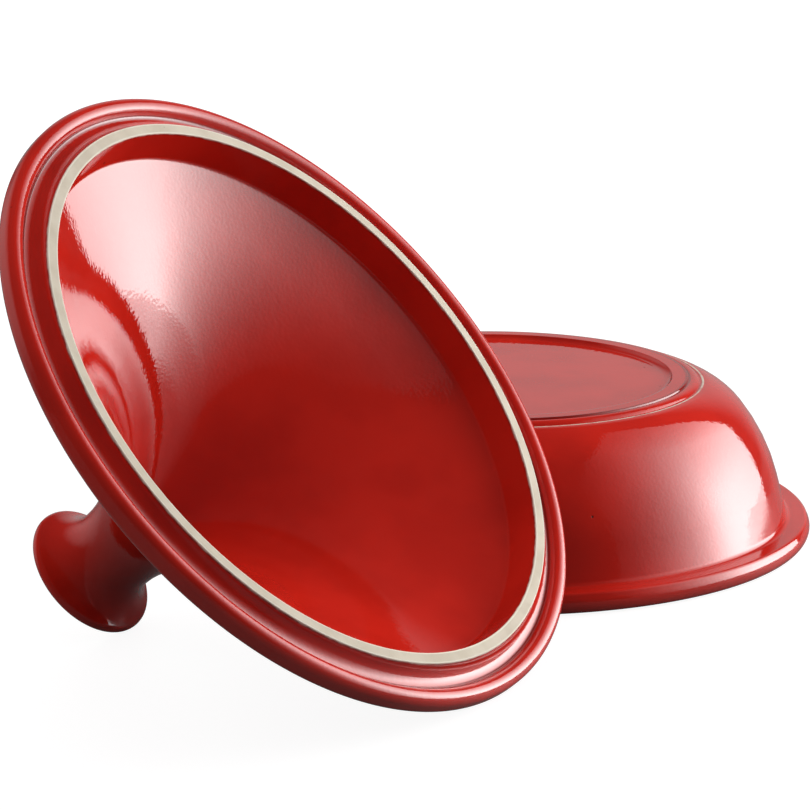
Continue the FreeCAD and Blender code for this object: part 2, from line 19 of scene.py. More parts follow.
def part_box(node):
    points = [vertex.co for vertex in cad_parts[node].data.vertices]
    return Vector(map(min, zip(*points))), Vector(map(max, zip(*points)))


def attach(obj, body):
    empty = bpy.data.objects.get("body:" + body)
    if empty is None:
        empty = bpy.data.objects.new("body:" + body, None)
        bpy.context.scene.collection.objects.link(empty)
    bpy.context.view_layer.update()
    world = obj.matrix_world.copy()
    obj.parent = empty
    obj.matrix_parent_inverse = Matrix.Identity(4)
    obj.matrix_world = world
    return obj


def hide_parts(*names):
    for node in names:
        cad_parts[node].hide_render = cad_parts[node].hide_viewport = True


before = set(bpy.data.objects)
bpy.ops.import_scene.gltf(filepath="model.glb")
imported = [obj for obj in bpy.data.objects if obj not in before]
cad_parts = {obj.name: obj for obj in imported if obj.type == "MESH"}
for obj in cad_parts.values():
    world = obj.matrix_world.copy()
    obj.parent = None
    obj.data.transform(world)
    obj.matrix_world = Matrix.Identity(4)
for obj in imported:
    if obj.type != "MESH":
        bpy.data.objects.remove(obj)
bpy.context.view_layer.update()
MM = 0.001

# %% [markdown]
# ## Drawing a wall section
# A potter's rib or a steel template gives the wall its section. It could be traced as a Bezier curve,
# but a real section is straight lines and round arcs, so two small helpers add those to a list of
# (radius, height) points. A straight line gets an extra point close to each end: a smooth-shaded mesh
# blends the directions of neighbouring faces, and a narrow face at the end of a wide one keeps that
# blend out of the wide one, so long reflections stay straight.

# %% Points of lines and arcs
ARC_STEP_DEG = 6
END_STRIP_MM, LARGEST_END_STRIP = 0.5, 0.2


def arc(points, centre, radius, start, end, step=ARC_STEP_DEG):
    """Adds a round stretch about centre, from one direction to another, in degrees."""
    count = max(2, math.ceil(abs(end - start) / step))
    for number in range(count + 1):
        turn = math.radians(start + (end - start) * number / count)
        points.append((centre[0] + radius * math.cos(turn), centre[1] + radius * math.sin(turn)))


def line(points, end, rows=1):
    """Adds a straight stretch from the last point, with a narrow strip at each of its ends."""
    start = points[-1]
    length = math.dist(start, end)
    strip = min(END_STRIP_MM / length, LARGEST_END_STRIP) if length else 0
    shares = [strip + (1 - 2 * strip) * row / rows for row in range(1, rows)]
    for share in [strip, *shares, 1 - strip, 1]:
        points.append(tuple(a + (b - a) * share for a, b in zip(start, end)))


# %% Directions and distances on the section


def direction(start, end):
    """The direction from one point to another, in degrees."""
    return math.degrees(math.atan2(end[1] - start[1], end[0] - start[0]))


def beside(centre, radius, degrees):
    """The point at a given distance and direction from a centre."""
    turn = math.radians(degrees)
    return centre[0] + radius * math.cos(turn), centre[1] + radius * math.sin(turn)


# %% [markdown]
# ## The lid's section
# Both rims lie flush when the tagine is closed, so one radius serves both. The lid's underside has,
# from the outside in: a drooping rounded rim, a channel, a cove, the flat seat ring that was wiped
# clean of glaze, and a short skirt that sinks into the dish. Above the rim the wall is a cone at first,
# then a wide hollow arc bends it into a bell, inside and outside alike. Two tighter arcs carry the outside
# on into the neck, and a last one flares out to the edge of the knob.
#
# A section could be typed in as a table of points, but then no size could be changed by itself. Here the
# centre of every round is worked out first, and the line is drawn through the rounds afterwards, with the
# knob up and the seat ring at height zero.

# %% Sizes of the lid in mm
RIM_RADIUS = 160.0
SEAT_DROP = 2.45
LID_RIM_THICKNESS, LID_RIM_ROUND = 11.2, 4.3
SHOULDER_FLAT, SHOULDER_FILLET = 3.36, 8.0
LIP_ANGLE, CHANNEL_WIDTH, COVE_RADIUS = 60.2, 1.3, 7.0
SEAT_WIDTH, SEAT_EDGE_ROUND = 5.5, 0.6
SKIRT_TAPER, CREASE_ROUND = 2.6, 2.5
CONE_HALF_ANGLE, LID_WALL, TIP_ROUND = 61.0, 6.0, 14.0
BELL_RADIUS, BELL_ANGLE = 300.0, 17.0
SWEEP_RADIUS, TAPER_RADIUS, TAPER_ANGLE = 85.0, 50.0, 18.0
NECK_RADIUS, KNOB_RADIUS, KNOB_RISE = 20.8, 32.5, 19.75
KNOB_ROUND, KNOB_DISH = 3.0, 2.2
# Glaze runs together in the corner between channel and lip and leaves it round
POOL_ROUND = 2.2

# %% Rounds and corners of the lid's rim, channel and seat ring
lid = SimpleNamespace()
lid.crest = (RIM_RADIUS - LID_RIM_ROUND, SEAT_DROP + LID_RIM_ROUND)
lid.upper = (lid.crest[0], SEAT_DROP + LID_RIM_THICKNESS - LID_RIM_ROUND)
lid.rim_top = lid.upper[1] + LID_RIM_ROUND
lid.shoulder = (lid.upper[0] - SHOULDER_FLAT, lid.rim_top + SHOULDER_FILLET)
lid.lip_end = beside(lid.crest, LID_RIM_ROUND, 270 - LIP_ANGLE)
lip_run = (COVE_RADIUS - lid.lip_end[1]) / math.tan(math.radians(LIP_ANGLE))
lid.lip_root = (lid.lip_end[0] - lip_run, COVE_RADIUS)
pool_run = POOL_ROUND * math.tan(math.radians(LIP_ANGLE) / 2)
lid.pool = (lid.lip_root[0] - pool_run, COVE_RADIUS - POOL_ROUND)
lid.cove = (lid.lip_root[0] - CHANNEL_WIDTH, 0)
lid.seat_outer = lid.cove[0] - COVE_RADIUS
lid.seat_inner = lid.seat_outer - SEAT_WIDTH
print("seat ring from", round(lid.seat_inner, 2), "to", round(lid.seat_outer, 2), "mm in radius")

# %% The cone, and the crease where its inside meets the skirt
cos_cone = math.cos(math.radians(CONE_HALF_ANGLE))
sin_cone = math.sin(math.radians(CONE_HALF_ANGLE))
cone_foot = beside(lid.shoulder, SHOULDER_FILLET, CONE_HALF_ANGLE + 180)
cone_outside = cone_foot[0] * cos_cone + cone_foot[1] * sin_cone
cone_inside = cone_outside - LID_WALL
crease_across = lid.seat_inner - SKIRT_TAPER
crease = (crease_across, (cone_inside - crease_across * cos_cone) / sin_cone)
lid.skirt_lean = direction((lid.seat_inner, 0), crease) - 90
crease_run = CREASE_ROUND * math.tan(math.radians(CONE_HALF_ANGLE - lid.skirt_lean) / 2)
lid.crease_end = (crease[0] - crease_run * sin_cone, crease[1] + crease_run * cos_cone)
lid.crease = beside(lid.crease_end, -CREASE_ROUND, CONE_HALF_ANGLE)
print("skirt", round(crease[1], 2), "mm deep, leaning", round(lid.skirt_lean, 1), "degrees")

# %% Rounds of the bell and of the cone's inner tip
lid.throat_angle = CONE_HALF_ANGLE - BELL_ANGLE
bell_across = NECK_RADIUS + TAPER_RADIUS
bell_across += (SWEEP_RADIUS - TAPER_RADIUS) * math.cos(math.radians(TAPER_ANGLE))
bell_across += (BELL_RADIUS - SWEEP_RADIUS) * math.cos(math.radians(lid.throat_angle))
lid.bell = (bell_across, (cone_outside + BELL_RADIUS - bell_across * cos_cone) / sin_cone)
lid.sweep = beside(lid.bell, SWEEP_RADIUS - BELL_RADIUS, lid.throat_angle)
lid.taper = beside(lid.sweep, TAPER_RADIUS - SWEEP_RADIUS, TAPER_ANGLE)
lid.inner_bell_radius = BELL_RADIUS + LID_WALL
lid.throat = beside(lid.bell, lid.inner_bell_radius, lid.throat_angle + 180)
tip_rise = math.tan(math.radians(90 - lid.throat_angle)) * lid.throat[0]
tip_drop = TIP_ROUND / math.sin(math.radians(lid.throat_angle))
lid.tip = (0, lid.throat[1] + tip_rise - tip_drop)
print("inner tip", round(lid.tip[1] + TIP_ROUND, 1), "mm above the seat ring")

# %% Rounds of the knob: its flare, its edge and the hollow in its top
lid.knob = (KNOB_RADIUS - KNOB_ROUND, lid.taper[1] + KNOB_RISE)
flare_run = lid.knob[0] - NECK_RADIUS
lid.flare_radius = (flare_run ** 2 + KNOB_RISE ** 2 - KNOB_ROUND ** 2) / (2 * (flare_run + KNOB_ROUND))
lid.flare = (NECK_RADIUS + lid.flare_radius, lid.taper[1])
sink = KNOB_ROUND - KNOB_DISH
lid.hollow_radius = (lid.knob[0] ** 2 + sink ** 2 - KNOB_ROUND ** 2) / (2 * (KNOB_ROUND - sink))
lid.hollow = (0, lid.knob[1] + sink + lid.hollow_radius)
print("knob's edge", round(lid.knob[1], 1), "mm above the seat ring")

# %% The lid's section, first from the inner tip to the seat ring
BELL_STEP_DEG, SWEEP_STEP_DEG = 1.5, 3

bell_foot, bell_top = CONE_HALF_ANGLE + 180, lid.throat_angle + 180
lid.points = []
arc(lid.points, lid.tip, TIP_ROUND, 90, lid.throat_angle)
line(lid.points, lid.throat, rows=3)
arc(lid.points, lid.bell, lid.inner_bell_radius, bell_top, bell_foot, BELL_STEP_DEG)
line(lid.points, lid.crease_end, rows=3)
arc(lid.points, lid.crease, CREASE_ROUND, CONE_HALF_ANGLE, lid.skirt_lean)
line(lid.points, (lid.seat_inner, SEAT_EDGE_ROUND), rows=2)
arc(lid.points, (lid.seat_inner + SEAT_EDGE_ROUND, SEAT_EDGE_ROUND), SEAT_EDGE_ROUND, 180, 270)
line(lid.points, (lid.seat_outer - SEAT_EDGE_ROUND, 0), rows=2)
arc(lid.points, (lid.seat_outer - SEAT_EDGE_ROUND, SEAT_EDGE_ROUND), SEAT_EDGE_ROUND, 270, 360)
print("inside of the lid:", len(lid.points), "points")

# %% Then round the cove, the channel and the rim
cove_start = 180 - math.degrees(math.asin(SEAT_EDGE_ROUND / COVE_RADIUS))
arc(lid.points, lid.cove, COVE_RADIUS, cove_start, 90)
line(lid.points, (lid.pool[0], COVE_RADIUS))
arc(lid.points, lid.pool, POOL_ROUND, 90, 90 - LIP_ANGLE)
line(lid.points, lid.lip_end)
arc(lid.points, lid.crest, LID_RIM_ROUND, 270 - LIP_ANGLE, 360)
line(lid.points, (RIM_RADIUS, lid.upper[1]))
arc(lid.points, lid.upper, LID_RIM_ROUND, 0, 90)
line(lid.points, (lid.shoulder[0], lid.rim_top))
arc(lid.points, lid.shoulder, SHOULDER_FILLET, 270, bell_foot)
print("with the rim:", len(lid.points), "points")

# %% And up the outside to the middle of the knob's top
line(lid.points, beside(lid.bell, BELL_RADIUS, bell_foot), rows=3)
arc(lid.points, lid.bell, BELL_RADIUS, bell_foot, bell_top, BELL_STEP_DEG)
arc(lid.points, lid.sweep, SWEEP_RADIUS, bell_top, TAPER_ANGLE + 180, SWEEP_STEP_DEG)
arc(lid.points, lid.taper, TAPER_RADIUS, TAPER_ANGLE + 180, 180)
flare_end = direction(lid.flare, lid.knob)
arc(lid.points, lid.flare, lid.flare_radius, 180, flare_end)
arc(lid.points, lid.knob, KNOB_ROUND, flare_end - 180, direction(lid.knob, lid.hollow))
arc(lid.points, lid.hollow, lid.hollow_radius, direction(lid.hollow, lid.points[-1]), -90)
print("lid's section:", len(lid.points), "points, knob's top at", round(lid.points[-1][1], 2), "mm")

# %% [markdown]
# ## The dish's section
# The dish has a flat foot ring round a shallow recess, a fat roll and a sharp little ledge outside the
# foot, then a heel that runs into a gently bellied wall. The rim is a flange that stands out as far as
# the lid's rim. The inside follows the outside at one wall's thickness, and the mouth is cut to take
# the lid's skirt with a little play, so the lid's sizes come first and the mouth is worked out. A Solidify
# modifier could give the wall its thickness, but the flange and the foot are thicker than the wall, so
# the inside is drawn as well. The foot is down, at height zero.

# %% Sizes of the dish in mm
DISH_HEIGHT, DISH_WALL, WALL_DRAFT = 80.7, 7.3, 15.0
LEDGE_HEIGHT, LEDGE_WIDTH = 2.3, 1.4
ROLL_RADIUS, ROLL_HEIGHT, ROLL_OFFSET = 5.0, 2.7, 0.5
FOOT_SETBACK, FOOT_RISE, FOOT_WIDTH = 7.7, 0.9, 7.7
RECESS_DEPTH, RECESS_ROUND = 2.3, 4.0
HEEL_RADIUS, HEEL_ANGLE, BELLY_RADIUS, BELLY_ANGLE = 40.0, 36.2, 95.0, 23.7
FLANGE_DEPTH, FLANGE_INSET, FLANGE_EDGE_ROUND, FLANGE_FILLET = 10.7, 1.2, 2.0, 3.0
DISH_RIM_ROUND, MOUTH_ROUND, SKIRT_CLEARANCE = 5.7, 2.5, 0.7
BAND_LEAN = 24.9

# %% The drafted wall, counted outwards from the mouth
draft_slope = math.tan(math.radians(WALL_DRAFT))
cos_draft = math.cos(math.radians(WALL_DRAFT))
mouth_radius = lid.seat_outer + SKIRT_CLEARANCE + SEAT_DROP * draft_slope


def wall_at(height, thickness):
    """The radius of the wall at a height, at a thickness outside its inner face."""
    return mouth_radius + thickness / cos_draft - (DISH_HEIGHT - height) * draft_slope


print("mouth", round(mouth_radius, 2), "mm in radius")

# %% Rounds of the heel and the belly
dish = SimpleNamespace()
dish.heel_start = -WALL_DRAFT - BELLY_ANGLE - HEEL_ANGLE
dish.belly_start = -WALL_DRAFT - BELLY_ANGLE
heel_up = LEDGE_HEIGHT - HEEL_RADIUS * math.sin(math.radians(dish.heel_start))
belly_up = heel_up - (BELLY_RADIUS - HEEL_RADIUS) * math.sin(math.radians(dish.belly_start))
wall_foot = belly_up - BELLY_RADIUS * math.sin(math.radians(WALL_DRAFT))
dish.belly = (wall_at(wall_foot, DISH_WALL) - BELLY_RADIUS * cos_draft, belly_up)
dish.heel = beside(dish.belly, BELLY_RADIUS - HEEL_RADIUS, dish.belly_start)
dish.ledge = beside(dish.heel, HEEL_RADIUS, dish.heel_start)
print("ledge", round(dish.ledge[0], 2), "mm in radius")

# %% Rounds of the foot's roll and of the recess
dish.foot = dish.ledge[0] - FOOT_SETBACK
dish.roll_start = (dish.foot + ROLL_OFFSET, FOOT_RISE)
dish.roll_end = (dish.ledge[0] - LEDGE_WIDTH, ROLL_HEIGHT)
roll_middle = [(a + b) / 2 for a, b in zip(dish.roll_start, dish.roll_end)]
roll_depth = math.sqrt(ROLL_RADIUS ** 2 - (math.dist(dish.roll_start, dish.roll_end) / 2) ** 2)
dish.roll = beside(roll_middle, roll_depth, direction(dish.roll_start, dish.roll_end) + 90)
recess_run = math.sqrt(RECESS_ROUND ** 2 - (RECESS_ROUND - RECESS_DEPTH) ** 2)
dish.recess = (dish.foot - FOOT_WIDTH - recess_run, RECESS_DEPTH - RECESS_ROUND)
print("foot ring", round(dish.foot, 2), "mm in radius")

# %% Rounds of the flange and the mouth
dish.flange = DISH_HEIGHT - FLANGE_DEPTH
root_up = dish.flange - FLANGE_FILLET
dish.root = (wall_at(root_up, DISH_WALL) + FLANGE_FILLET / cos_draft, root_up)
edge_across = RIM_RADIUS - FLANGE_INSET - FLANGE_EDGE_ROUND * math.cos(math.radians(BAND_LEAN))
dish.edge = (edge_across, dish.flange + FLANGE_EDGE_ROUND)
dish.rim = (RIM_RADIUS - DISH_RIM_ROUND, DISH_HEIGHT - DISH_RIM_ROUND)
mouth_up = DISH_HEIGHT - MOUTH_ROUND
dish.mouth = (wall_at(mouth_up, 0) + MOUTH_ROUND / cos_draft, mouth_up)
dish.notch = (dish.root[0] - FLANGE_FILLET, dish.flange)
print("flange stands out by", round(RIM_RADIUS - dish.notch[0], 1), "mm")

# %% The dish's section, first from the middle of the recess to the heel
dish.points = [(0, RECESS_DEPTH)]
line(dish.points, (dish.recess[0], RECESS_DEPTH), rows=8)
arc(dish.points, dish.recess, RECESS_ROUND, 90, direction(dish.recess, (dish.foot - FOOT_WIDTH, 0)))
line(dish.points, (dish.foot, 0), rows=2)
line(dish.points, dish.roll_start)
roll_from, roll_to = direction(dish.roll, dish.roll_start), direction(dish.roll, dish.roll_end)
arc(dish.points, dish.roll, ROLL_RADIUS, roll_from, roll_to)
line(dish.points, dish.ledge)
arc(dish.points, dish.heel, HEEL_RADIUS, dish.heel_start, dish.belly_start)
print("foot and heel:", len(dish.points), "points")

# %% Then up the belly and round the flange
arc(dish.points, dish.belly, BELLY_RADIUS, dish.belly_start, -WALL_DRAFT)
line(dish.points, beside(dish.root, FLANGE_FILLET, 180 - WALL_DRAFT), rows=3)
arc(dish.points, dish.root, FLANGE_FILLET, 180 - WALL_DRAFT, 90)
line(dish.points, (dish.edge[0], dish.flange))
arc(dish.points, dish.edge, FLANGE_EDGE_ROUND, -90, -BAND_LEAN)
line(dish.points, beside(dish.rim, DISH_RIM_ROUND, -BAND_LEAN))
arc(dish.points, dish.rim, DISH_RIM_ROUND, -BAND_LEAN, 90)
print("with the flange:", len(dish.points), "points")

# %% And in through the mouth to the middle of the inside
line(dish.points, (dish.mouth[0], DISH_HEIGHT), rows=2)
arc(dish.points, dish.mouth, MOUTH_ROUND, 90, 180 - WALL_DRAFT)
inside_belly, inside_heel = BELLY_RADIUS - DISH_WALL, HEEL_RADIUS - DISH_WALL
line(dish.points, beside(dish.belly, inside_belly, -WALL_DRAFT), rows=4)
arc(dish.points, dish.belly, inside_belly, -WALL_DRAFT, dish.belly_start)
arc(dish.points, dish.heel, inside_heel, dish.belly_start, -90)
line(dish.points, (0, dish.heel[1] - inside_heel), rows=8)
print("dish's section:", len(dish.points), "points, inside floor at", round(dish.points[-1][1], 2), "mm")

# %% [markdown]
# ## A potter's wheel in Geometry Nodes
# A lathe could be the Screw modifier or a spin in edit mode. Here the wheel is a small node tree: a
# flat grid gets one row for each point of the section and one column for each step round the wheel,
# and every grid point is then moved to its section point, turned by its column's angle. The same tree
# turns both pieces, its inputs are named, and the section stays exact at every fillet. The last column
# lies on the first, and a piece's middle is a whole row in one spot, so both are welded at the end.

# %% One helper adds any node


def add(tree, kind, inputs=None, **settings):
    """Adds a node, sets its options, fills its inputs with values or links, and gives its outputs."""
    node = tree.nodes.new(kind)
    for name, value in settings.items():
        setattr(node, name, value)
    for key, value in (inputs or {}).items():
        if isinstance(value, bpy.types.NodeSocket):
            tree.links.new(value, node.inputs[key])
        else:
            node.inputs[key].default_value = value
    return node.outputs


# %% The wheel: a grid with a row for each section point
WHEEL_STEPS = 288
WELD_GAP = 1e-6

wheel = bpy.data.node_groups.new("potters_wheel", "GeometryNodeTree")
wheel.interface.new_socket("Section", in_out="INPUT", socket_type="NodeSocketGeometry")
wheel.interface.new_socket("Steps round", in_out="INPUT", socket_type="NodeSocketInt")
wheel.interface.new_socket("Finish", in_out="INPUT", socket_type="NodeSocketMaterial")
wheel.interface.new_socket("Piece", in_out="OUTPUT", socket_type="NodeSocketGeometry")
given = add(wheel, "NodeGroupInput")
rows = add(wheel, "GeometryNodeAttributeDomainSize", {
    "Geometry": given["Section"]}, component="MESH")["Point Count"]
columns = add(wheel, "ShaderNodeMath", {0: given["Steps round"], 1: 1.0}, operation="ADD")[0]
grid = add(wheel, "GeometryNodeMeshGrid", {
    "Size X": 1.0, "Size Y": 1.0, "Vertices X": columns, "Vertices Y": rows})["Mesh"]
on_grid = add(wheel, "ShaderNodeSeparateXYZ", {0: add(wheel, "GeometryNodeInputPosition")[0]})
share_round = add(wheel, "ShaderNodeMath", {0: on_grid["X"], 1: 0.5}, operation="ADD")[0]
share_along = add(wheel, "ShaderNodeMath", {0: on_grid["Y"], 1: 0.5}, operation="ADD")[0]
print("grid:", len(wheel.nodes), "nodes")

# %% The wheel: every point goes to its place in the turned section
last_row = add(wheel, "ShaderNodeMath", {0: rows, 1: 1.0}, operation="SUBTRACT")[0]
row = add(wheel, "ShaderNodeMath", {0: share_along, 1: last_row}, operation="MULTIPLY")[0]
row_number = add(wheel, "FunctionNodeFloatToInt", {0: row}, rounding_mode="ROUND")[0]
angle = add(wheel, "ShaderNodeMath", {0: share_round, 1: math.tau}, operation="MULTIPLY")[0]
section_point = add(wheel, "GeometryNodeSampleIndex", {
    "Geometry": given["Section"], "Value": add(wheel, "GeometryNodeInputPosition")[0],
    "Index": row_number}, data_type="FLOAT_VECTOR", domain="POINT")[0]
turned = add(wheel, "ShaderNodeVectorRotate", {
    "Vector": section_point, "Angle": angle}, rotation_type="Z_AXIS")["Vector"]
moved = add(wheel, "GeometryNodeSetPosition", {"Geometry": grid, "Position": turned})[0]
welded = add(wheel, "GeometryNodeMergeByDistance", {"Geometry": moved, "Distance": WELD_GAP})[0]
smooth = add(wheel, "GeometryNodeSetShadeSmooth", {"Geometry": welded})[0]
whole = add(wheel, "GeometryNodeRealizeInstances", {"Geometry": smooth})[0]
finished = add(wheel, "GeometryNodeSetMaterial", {"Geometry": whole, "Material": given["Finish"]})[0]
add(wheel, "NodeGroupOutput", {"Piece": finished})
print("whole wheel:", len(wheel.nodes), "nodes")

# %% Turning a piece


def turn_piece(name, points, finish):
    """Turns a section of (radius, height) points in mm into a closed mesh, axis upright at the origin."""
    edges = [(n, n + 1) for n in range(len(points) - 1)]
    outline = bpy.data.meshes.new(name + "_section")
    outline.from_pydata([(radius * MM, 0, height * MM) for radius, height in points], edges, [])
    blank = bpy.data.objects.new(name + "_blank", outline)
    bpy.context.scene.collection.objects.link(blank)
    modifier = blank.modifiers.new("wheel", "NODES")
    modifier.node_group = wheel
    sockets = {item.name: item.identifier for item in wheel.interface.items_tree}
    modifier[sockets["Steps round"]] = WHEEL_STEPS
    modifier[sockets["Finish"]] = finish
    evaluated = blank.evaluated_get(bpy.context.evaluated_depsgraph_get())
    mesh = bpy.data.meshes.new_from_object(evaluated)
    bpy.data.objects.remove(blank)
    mesh.name = name
    return mesh


# %% [markdown]
# ## How the two pieces lie
# The dish is simply upside down. The lid touches the table with the edge of its rim and the edge of
# its knob, both round in section, so its lean follows from those two rounds and the distance between
# their centres. Where each piece stands could be typed in, but the construction solids know it already,
# so each piece is only turned and then centred in the box of its solid.

# %% Turns of the lid and the dish
LID_FACING_DEG = -30.1

lean = math.degrees(math.atan2(lid.upper[0] - lid.knob[0], lid.knob[1] - lid.upper[1]))
lean += math.degrees(math.asin((LID_RIM_ROUND - KNOB_ROUND) / math.dist(lid.upper, lid.knob)))
lid_turn = Matrix.Rotation(math.radians(LID_FACING_DEG), 4, "Z")
lid_turn = lid_turn @ Matrix.Rotation(math.radians(-90 - lean), 4, "Y")
dish_turn = Matrix.Rotation(math.pi, 4, "X")
print("the lid's axis leans", round(lean, 2), "degrees from level")

# %% Finding a piece's place


def corners(mesh):
    """The lowest and the highest x, y and z of a mesh."""
    spots = [vertex.co for vertex in mesh.vertices]
    return [Vector([pick(spot[axis] for spot in spots) for axis in range(3)]) for pick in (min, max)]


def place_of(mesh, turn, node):
    """The matrix that turns an upright piece and centres it in the box of its construction solid. The
    solid's facets cut its rounds short by some hundredths of a millimetre, so the piece shrinks by that."""
    turned = mesh.copy()
    turned.transform(turn)
    own_low, own_high = corners(turned)
    bpy.data.meshes.remove(turned)
    low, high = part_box(node)
    fit = min(1, *[(high[n] - low[n]) / (own_high[n] - own_low[n]) for n in range(3)])
    shift = (low + high) / 2 - (own_low + own_high) / 2 * fit
    print(node, "set at", [round(v / MM, 2) for v in shift], "mm, scale", round(fit, 5))
    return Matrix.Translation(shift) @ turn @ Matrix.Scale(fit, 4)


# %% [markdown]
# ## Glazed stoneware
# The glaze is a coloured glass, about half a millimetre thick, melted over a beige clay body in the kiln.
# It could be built as a clear coat over paint, but the colour is in the glass itself, so one shader with a
# red base, a glass's refractive index and a low roughness says the same.
#
# What makes it look fired and not moulded is that it is uneven. It is deeper in tone where it lies thick,
# its surface ripples like orange peel, and it breaks to clay along a sharp ridge. In the grooves and under
# the flange it is painted darker, partly for glaze that pools there and partly as painted shade. Specks of
# iron and small pits come through. The seat ring was wiped clean before firing, so it is dry, matt and
# beige. Its edges are painted cream, partly for a thin film of glaze left by the wipe and partly as a
# painted highlight. A dark line beside it, where the glaze stops, is partly the glaze's thick edge and
# partly painted shade.
#
# Turned work is easiest to paint in its own frame. A Mapping node brings the object coordinates back to
# the upright piece, where every spot has a radius and a height, and a ring is simply a radius.

# %% Colours of glaze and clay


def linear(hex_colour):
    """Turns an sRGB hex colour into the linear values that a shader takes."""
    values = [int(hex_colour[start:start + 2], 16) / 255 for start in (1, 3, 5)]
    return (*[v / 12.92 if v <= 0.04045 else ((v + 0.055) / 1.055) ** 2.4 for v in values], 1.0)


# The darkest red is painted in the grooves and under the flange, partly for glaze that pools there and
# partly as painted shade, and as a dark line beside the seat ring
GLAZE_THIN, GLAZE_THICK, GLAZE_POOLED_AND_SHADED = linear("#C02217"), linear("#B41E14"), linear("#7A130D")
# The cream goes along the edges of the bare seat ring, partly for a thin film of glaze left by the wipe and
# partly as a painted highlight
CLAY, CLAY_SHADED, CREAM_AND_HIGHLIGHT = linear("#CABFAD"), linear("#BEB29F"), linear("#E2DACA")
IRON_SPECK = linear("#3A1A12")
print("glaze", [round(v, 3) for v in GLAZE_THIN[:3]], "to", [round(v, 3) for v in GLAZE_THICK[:3]])

# %% Places in the piece's own frame


def own_frame(tree, place):
    """The spot in the upright piece, and the same spot as (radius, height)."""
    back = place.inverted()
    spot = add(tree, "ShaderNodeMapping", {
        "Vector": add(tree, "ShaderNodeTexCoord")["Object"], "Location": back.to_translation(),
        "Rotation": back.to_euler("XYZ"), "Scale": back.to_scale()}, vector_type="POINT")[0]
    parts = add(tree, "ShaderNodeSeparateXYZ", {0: spot})
    flat = add(tree, "ShaderNodeCombineXYZ", {0: parts[0], 1: parts[1]})[0]
    radius = add(tree, "ShaderNodeVectorMath", {0: flat}, operation="LENGTH")["Value"]
    return spot, add(tree, "ShaderNodeCombineXYZ", {0: radius, 1: parts[2]})[0]


# %% Patches, rings and coats of colour
RING_CORE_SHARE = 0.35


def patches(tree, spot, size_mm, edges, low=0.0, high=1.0, detail=2.0):
    """Soft patches about size_mm across. edges is the stretch of the noise in which low turns to high."""
    clouds = add(tree, "ShaderNodeTexNoise", {
        "Vector": spot, "Scale": 1 / (size_mm * MM), "Detail": detail})[0]
    return add(tree, "ShaderNodeMapRange", {
        "Value": clouds, "From Min": edges[0], "From Max": edges[1], "To Min": low, "To Max": high},
        interpolation_type="SMOOTHSTEP")[0]


def near_ring(tree, section, ring, reach_mm):
    """1 close to a ring given as (radius, height) in mm, and 0 further off than its reach."""
    ring_spot = (ring[0] * MM, ring[1] * MM, 0)
    away = add(tree, "ShaderNodeVectorMath", {0: section, 1: ring_spot}, operation="DISTANCE")["Value"]
    return add(tree, "ShaderNodeMapRange", {
        "Value": away, "From Min": reach_mm * MM, "From Max": reach_mm * MM * RING_CORE_SHARE},
        interpolation_type="SMOOTHSTEP")[0]


def coats(tree, ground, *layers):
    """Lays coats over a ground colour, one after another, each where its mask is 1."""
    for mask, colour in layers:
        ground = add(tree, "ShaderNodeMix", {"Factor": mask, 6: ground, 7: colour}, data_type="RGBA")[2]
    return ground


# %% Tone of the glaze: clouds, pooled glaze and painted shade in the grooves, and clay along the ridges
CLOUD_MM, CLOUD_EDGES, CLOUD_DETAIL = 45.0, (0.35, 0.65), 3.0
# How dark the grooves are painted, for pooled glaze and painted shade
POOL_AND_SHADE_DEPTH = 0.85
BREAK_MM, BREAK_EDGES, THINNEST_BREAK = 9.0, (0.3, 0.6), 0.35


def glaze_tone(tree, spot, section, pooled_and_shaded, broken):
    """Red that is deeper where the glaze is thick. Both lists hold ((radius, height), reach) in mm: the
    first where the red is painted darker, for glaze that has run together there and for painted shade, the
    second where the glaze has run off."""
    layers = [(patches(tree, spot, CLOUD_MM, CLOUD_EDGES, detail=CLOUD_DETAIL), GLAZE_THIN)]
    patchy = patches(tree, spot, BREAK_MM, BREAK_EDGES, THINNEST_BREAK, 1.0)
    for rings, depth, colour in ((pooled_and_shaded, POOL_AND_SHADE_DEPTH, GLAZE_POOLED_AND_SHADED), (broken, patchy, CLAY)):
        for ring, reach in rings:
            near = near_ring(tree, section, ring, reach)
            mask = add(tree, "ShaderNodeMath", {0: near, 1: depth}, operation="MULTIPLY")[0]
            layers.append((mask, colour))
    return coats(tree, GLAZE_THICK, *layers)


# %% Surface of the glaze: orange peel in two sizes, and a small pit at each iron speck
RIPPLE_MM, RIPPLE_HEIGHT_MM = 7.0, 0.025
FINE_RIPPLE_MM, FINE_RIPPLE_HEIGHT_MM = 1.5, 0.028
SPECK_CELL_MM, SPECK_EDGE_MM, SPECK_CORE_MM = 24.0, 0.8, 0.3
PIT_DEPTH_MM = 0.08


def iron_specks(tree, spot):
    """1 on small round specks, one in each cell."""
    cells = add(tree, "ShaderNodeTexVoronoi", {"Vector": spot, "Scale": 1 / (SPECK_CELL_MM * MM)})
    return add(tree, "ShaderNodeMapRange", {
        "Value": cells["Distance"], "From Min": SPECK_EDGE_MM / SPECK_CELL_MM,
        "From Max": SPECK_CORE_MM / SPECK_CELL_MM}, interpolation_type="SMOOTHSTEP")[0]


